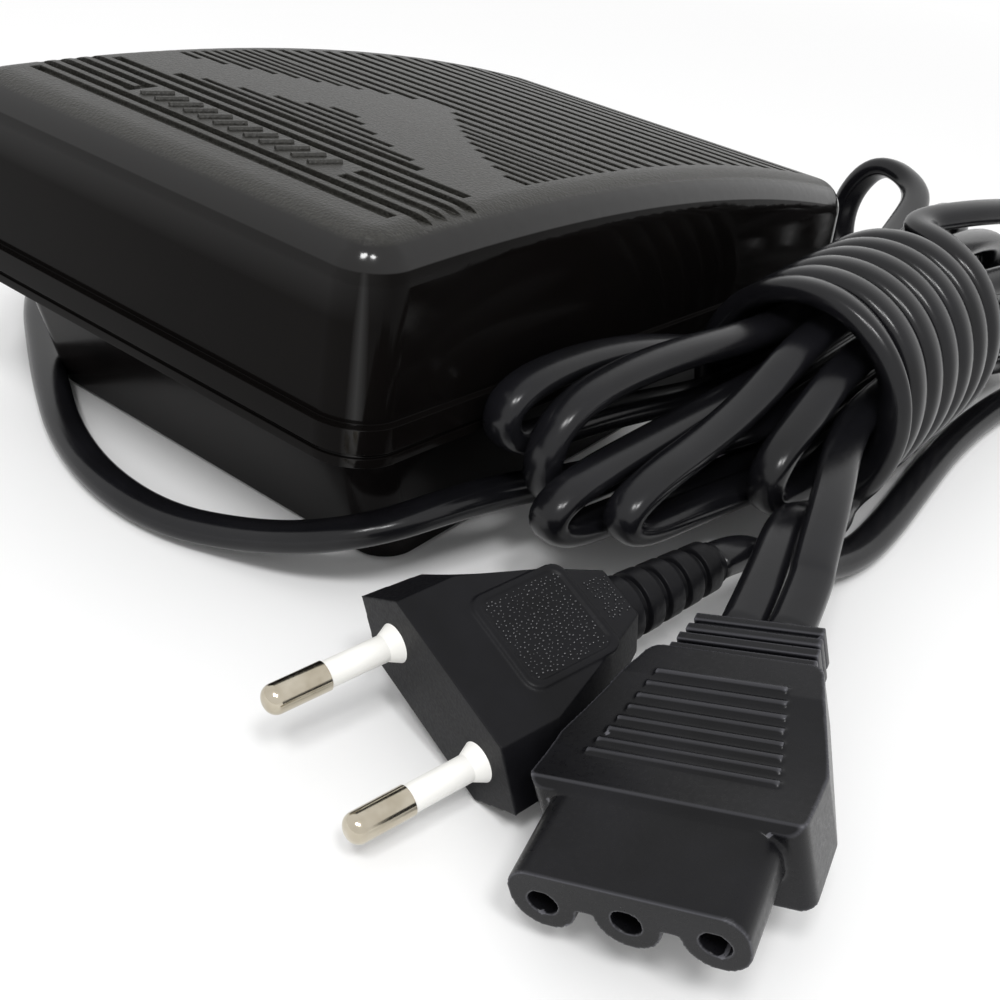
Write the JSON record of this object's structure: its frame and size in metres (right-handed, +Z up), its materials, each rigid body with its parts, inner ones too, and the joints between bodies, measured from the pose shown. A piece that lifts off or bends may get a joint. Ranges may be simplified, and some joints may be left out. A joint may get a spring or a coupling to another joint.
{
  "type": "sewing machine foot pedal",
  "caption": "Sewing machine foot controller with a hinged ribbed treadle over a wedge base, its lead, mains plug and three-hole connector.",
  "frame": {"origin": "centre of the pedal housing on the floor, under the four rubber feet", "axes": "+Z up, +Y towards the tall toe end, -Y towards the hinged heel end, +X towards the side where the lead leaves"},
  "size_m": [0.2065, 0.2195, 0.0569],
  "materials": {
    "treadle_abs": "black moulded ABS, satin on the crown and glossy on the walls",
    "base_abs": "black moulded ABS, glossy",
    "feet_rubber": "soft moulded rubber, matt",
    "pin_steel": "drawn steel rod, bright zinc",
    "spring_steel": "cold drawn spring wire",
    "screw_steel": "zinc plated steel",
    "board_laminate": "phenolic paper laminate, brown",
    "component_plastic": "moulded component epoxy",
    "lever_plastic": "natural acetal, matt",
    "heat_sink_aluminium": "bent aluminium sheet",
    "capacitor_film": "dipped film capacitor, yellow",
    "ferrite_core": "sintered ferrite, matt grey",
    "copper_wire": "enamelled copper wire",
    "terminal_plastic": "moulded nylon, off white",
    "lead_pvc": "extruded black PVC sheath, satin",
    "core_pvc": "PVC core insulation",
    "plug_pvc": "moulded black PVC, satin",
    "pin_nickel": "nickel plated brass, polished",
    "sleeve_white": "white insulating sleeve",
    "connector_pvc": "moulded black PVC, satin",
    "contact_brass": "brass contact sleeve"
  },
  "bodies": {
    "root": {"base_tub": "base_abs", "rubber_feet": "feet_rubber", "hinge_pin": "pin_steel", "pin_clips": "pin_steel", "return_spring_left": "spring_steel", "return_spring_right": "spring_steel", "circuit_board": "board_laminate", "board_screws": "screw_steel", "potentiometer_case": "component_plastic", "lever_bracket": "lever_plastic", "lever_pivot_pin": "pin_steel", "heat_sink": "heat_sink_aluminium", "triac": "component_plastic", "triac_screw": "screw_steel", "suppression_capacitor": "capacitor_film", "timing_capacitor": "capacitor_film", "resistors": "component_plastic", "choke_core": "ferrite_core", "choke_winding": "copper_wire", "terminal_block": "terminal_plastic", "terminal_screws": "screw_steel", "cord_clamp": "lever_plastic", "clamp_screws": "screw_steel", "cord_gland": "lead_pvc", "inner_lead": "lead_pvc", "lead_cores": "core_pvc", "board_wires": "core_pvc", "plug_body": "plug_pvc", "plug_pins": "pin_nickel", "pin_sleeves": "sleeve_white", "plug_strain_relief": "plug_pvc", "connector_body": "connector_pvc", "connector_contacts": "contact_brass", "connector_collar": "connector_pvc", "pedal_lead": "lead_pvc", "pedal_lead_folds": "lead_pvc", "pedal_lead_end": "lead_pvc", "mains_lead": "lead_pvc", "mains_lead_folds": "lead_pvc", "mains_lead_wraps": "lead_pvc", "mains_lead_end": "lead_pvc"},
    "treadle": {"treadle_cover": "treadle_abs"},
    "lever": {"drive_lever": "lever_plastic"},
    "slider": {"potentiometer_slider": "component_plastic"}
  },
  "joints": [
    {"name": "treadle_hinge", "type": "hinge", "parent": "root", "child": "treadle", "pos_m": [0, -0.064, 0.0116], "axis": [-1, 0, 0], "range_deg": [0, 3.5], "stiffness_Nm_per_rad": 12.5, "springref_deg": -2.86, "deforming": ["return_spring_left", "return_spring_right"]},
    {"name": "lever_hinge", "type": "hinge", "parent": "root", "child": "lever", "pos_m": [-0.0075, 0.002, 0.033], "axis": [-1, 0, 0], "range_deg": [0, 12.6]},
    {"name": "slider_slide", "type": "slide", "parent": "root", "child": "slider", "axis": [0, -1, 0], "range_m": [0, 0.0034]}
  ],
  "couplings": [
    {"joint": "lever_hinge", "follows": "treadle_hinge", "ratio": 3.57},
    {"joint": "slider_slide", "follows": "treadle_hinge", "m_per_rad": 0.053}
  ]
}
